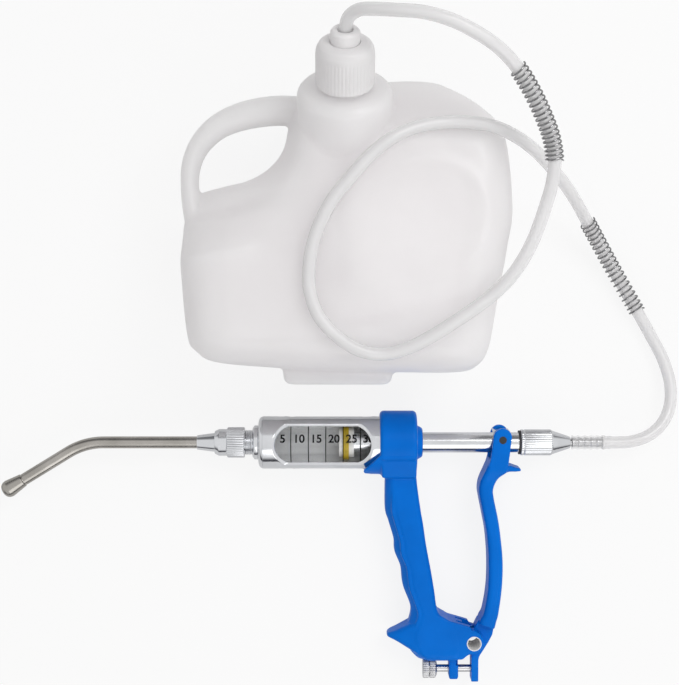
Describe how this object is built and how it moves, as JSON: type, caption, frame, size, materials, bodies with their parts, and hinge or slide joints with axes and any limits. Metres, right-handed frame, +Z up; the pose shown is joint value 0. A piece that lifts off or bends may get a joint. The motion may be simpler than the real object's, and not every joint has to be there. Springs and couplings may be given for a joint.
{
  "type": "livestock drencher",
  "caption": "Hand dosing gun with glass measuring barrel, squeeze lever and bent nozzle, fed by a hose from a milky back-pack reservoir, laid out flat.",
  "frame": {"origin": "on the floor, below the middle of the kit without its free hose", "axes": "+Z up off the floor the kit lies on, +X towards the hose end of the gun barrel, +Y towards the cap of the reservoir"},
  "size_m": [0.4545, 0.4252, 0.172],
  "materials": {
    "milky_plastic": "translucent milky, blow moulded",
    "blue_plastic": "satin moulded",
    "bright_plate": "polished plate",
    "nickel_plate": "satin nickel plate",
    "clear_glass": "clear",
    "black_rubber": "matte",
    "yellow_rubber": "matte",
    "white_plastic": "satin",
    "spring_steel": "bright drawn wire",
    "black_pin": "blacked steel",
    "clear_hose": "soft, see-through, milky"
  },
  "bodies": {
    "housing": {"reservoir_body": "milky_plastic", "gun_body": "blue_plastic", "barrel_sleeve": "bright_plate", "glass_cylinder": "clear_glass", "front_seal": "black_rubber", "rear_seal": "black_rubber", "outlet_fitting": "bright_plate", "fitting_locknut": "bright_plate", "valve_retainer": "bright_plate", "outlet_spring": "spring_steel", "rod_guide": "white_plastic", "rod_wiper": "black_rubber", "pivot_bush": "spring_steel", "return_spring": "spring_steel", "nozzle_nut": "bright_plate", "feed_hose": "clear_hose", "upper_guard": "spring_steel", "lower_guard": "spring_steel"},
    "cap": {"reservoir_cap": "milky_plastic", "cap_seal": "black_rubber", "hose_gland": "milky_plastic", "suction_tube": "milky_plastic"},
    "nozzle": {"nozzle_ferrule": "bright_plate", "nozzle_tube": "nickel_plate", "nozzle_tip": "nickel_plate"},
    "rod": {"piston_rod": "bright_plate", "rod_yoke": "bright_plate", "piston_front": "white_plastic", "piston_seal": "yellow_rubber", "piston_back": "white_plastic", "end_washer": "black_rubber", "rod_end_nut": "bright_plate", "hose_barb": "bright_plate", "hose_cuff": "clear_hose"},
    "inlet": {"inlet_ball": "spring_steel"},
    "outlet": {"outlet_valve": "white_plastic"},
    "lever": {"lever": "blue_plastic", "drive_pin_upper": "black_pin", "drive_pin_lower": "black_pin"},
    "screw": {"dose_screw": "spring_steel"},
    "knob": {"dose_knob": "spring_steel"}
  },
  "joints": [
    {"name": "lever_squeeze", "type": "hinge", "parent": "housing", "child": "lever", "pos_m": [0.11511, -0.18131, 0.01323], "axis": [0, -0.0604, 0.9982], "range_deg": [0, 19], "deforming": ["return_spring"]},
    {"name": "rod_slide", "type": "slide", "parent": "housing", "child": "rod", "axis": [-1, 0, 0], "range_m": [0, 0.0455]},
    {"name": "inlet_valve_lift", "type": "slide", "parent": "rod", "child": "inlet", "axis": [-1, 0, 0], "range_m": [0, 0.0007]},
    {"name": "outlet_valve_lift", "type": "slide", "parent": "housing", "child": "outlet", "axis": [-1, 0, 0], "range_m": [0, 0.002], "deforming": ["outlet_spring"]},
    {"name": "nozzle_swivel", "type": "hinge", "parent": "housing", "child": "nozzle", "pos_m": [-0.05299, -0.04785, 0.0213], "axis": [-1, 0, 0], "continuous": true},
    {"name": "dose_screw_slide", "type": "slide", "parent": "housing", "child": "screw", "axis": [-1, 0, 0], "range_m": [0, 0.0028]},
    {"name": "dose_knob_turn", "type": "hinge", "parent": "screw", "child": "knob", "pos_m": [0.08601, -0.20107, 0.01204], "axis": [-1, 0, 0], "range_deg": [0, 1260]},
    {"name": "cap_turn", "type": "hinge", "parent": "housing", "child": "cap", "pos_m": [0.02861, 0.17445, 0.112], "axis": [0, 0.766, 0.6428], "range_deg": [0, 140]}
  ],
  "couplings": [
    {"joint": "rod_slide", "follows": "lever_squeeze", "m_per_rad": 0.1372},
    {"joint": "dose_knob_turn", "follows": "dose_screw_slide", "rad_per_m": 7854}
  ]
}
